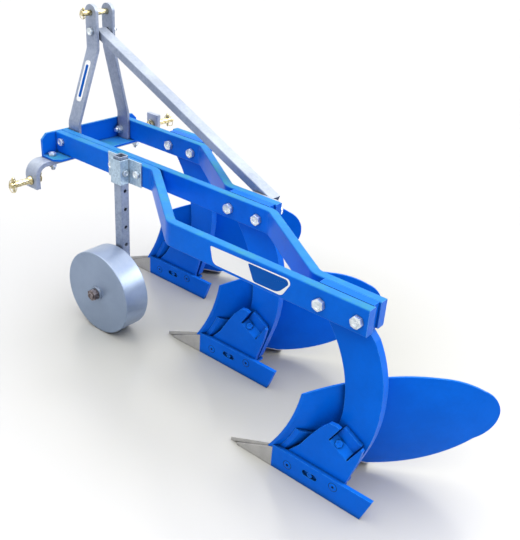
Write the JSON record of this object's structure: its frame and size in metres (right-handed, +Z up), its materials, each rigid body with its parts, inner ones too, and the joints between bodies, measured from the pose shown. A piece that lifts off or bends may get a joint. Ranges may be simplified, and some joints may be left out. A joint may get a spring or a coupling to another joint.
{
  "type": "moldboard plough",
  "caption": "Mounted moldboard plough: bent flat-bar beams, curved legs with share, landside and mouldboard, three-point mast and cranked cross bar, and a height-set gauge wheel.",
  "frame": {"origin": "centre of the bounding box's base, on the ground under the plough", "axes": "+X to the right of travel, +Y forward in the direction of travel, +Z up"},
  "size_m": [0.8686, 1.735, 1.027],
  "materials": {
    "blue_paint": "gloss",
    "silver_paint": "satin",
    "zinc": "satin",
    "yellow_zinc": "satin",
    "share_steel": "satin"
  },
  "bodies": {
    "frame": {"beam_left": "blue_paint", "beam_middle": "blue_paint", "beam_right": "blue_paint", "beam_cheek": "blue_paint", "front_cross_angle": "blue_paint", "mast_left": "silver_paint", "mast_right": "silver_paint", "mast_brace": "silver_paint", "top_link_pin": "yellow_zinc", "cross_bar": "silver_paint", "lower_link_pin_left": "yellow_zinc", "lower_link_pin_right": "yellow_zinc", "wheel_clamp": "zinc", "leg_1": "blue_paint", "frog_1": "blue_paint", "landside_1": "blue_paint", "share_1": "share_steel", "mouldboard_1": "blue_paint", "mouldboard_stay_1": "blue_paint", "leg_2": "blue_paint", "frog_2": "blue_paint", "landside_2": "blue_paint", "share_2": "share_steel", "mouldboard_2": "blue_paint", "mouldboard_stay_2": "blue_paint", "leg_3": "blue_paint", "frog_3": "blue_paint", "landside_3": "blue_paint", "share_3": "share_steel", "mouldboard_3": "blue_paint", "mouldboard_stay_3": "blue_paint"},
    "wheel_post": {"wheel_post": "silver_paint", "wheel_axle": "zinc"},
    "gauge_wheel": {"gauge_wheel": "silver_paint"}
  },
  "joints": [
    {"name": "post_height", "type": "slide", "parent": "frame", "child": "wheel_post", "axis": [0, 0, 1], "range_m": [0, 0.198]},
    {"name": "wheel_spin", "type": "hinge", "parent": "wheel_post", "child": "gauge_wheel", "pos_m": [-0.27084, 0.49247, 0.149], "axis": [1, 0, 0], "continuous": true}
  ]
}
